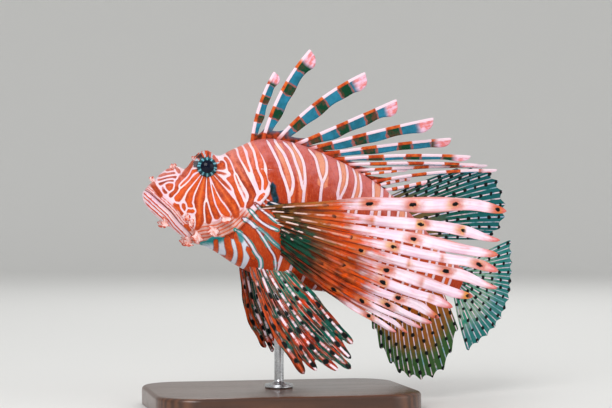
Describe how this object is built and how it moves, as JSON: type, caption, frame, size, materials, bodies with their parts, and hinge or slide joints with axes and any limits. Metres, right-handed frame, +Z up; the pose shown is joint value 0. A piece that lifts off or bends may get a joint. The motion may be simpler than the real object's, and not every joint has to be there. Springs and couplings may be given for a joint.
{
  "type": "red lionfish model on a display stand",
  "caption": "Life-size red lionfish with fan-like striped pectoral fins and long dorsal spines, held by one rod over a flat base.",
  "frame": {"origin": "centre of the flat underside of the stand's base", "axes": "+Z up, head towards -X, the fish's left side towards -Y"},
  "size_m": [0.2584, 0.1357, 0.2289],
  "materials": {
    "skin": "painted in brick-red and orange bars parted by thin white lines, satin",
    "fins": "thin painted fin skin, pink and orange with dark spots, satin",
    "eye": "polished",
    "stand_base": "dark stained and lacquered",
    "stand_rod": "brushed"
  },
  "bodies": {
    "root": {"head": "skin", "lower_jaw": "skin", "gill_cover_left": "skin", "gill_cover_right": "skin", "torso": "skin", "tail_stem": "skin", "eye_left": "eye", "eye_right": "eye", "spiny_dorsal_fin": "fins", "soft_dorsal_fin": "fins", "anal_fin": "fins", "caudal_fin": "fins", "pectoral_fin_left": "fins", "pectoral_fin_right": "fins", "pelvic_fin_left": "fins", "pelvic_fin_right": "fins", "stand_base": "stand_base", "stand_rod": "stand_rod"}
  },
  "joints": []
}
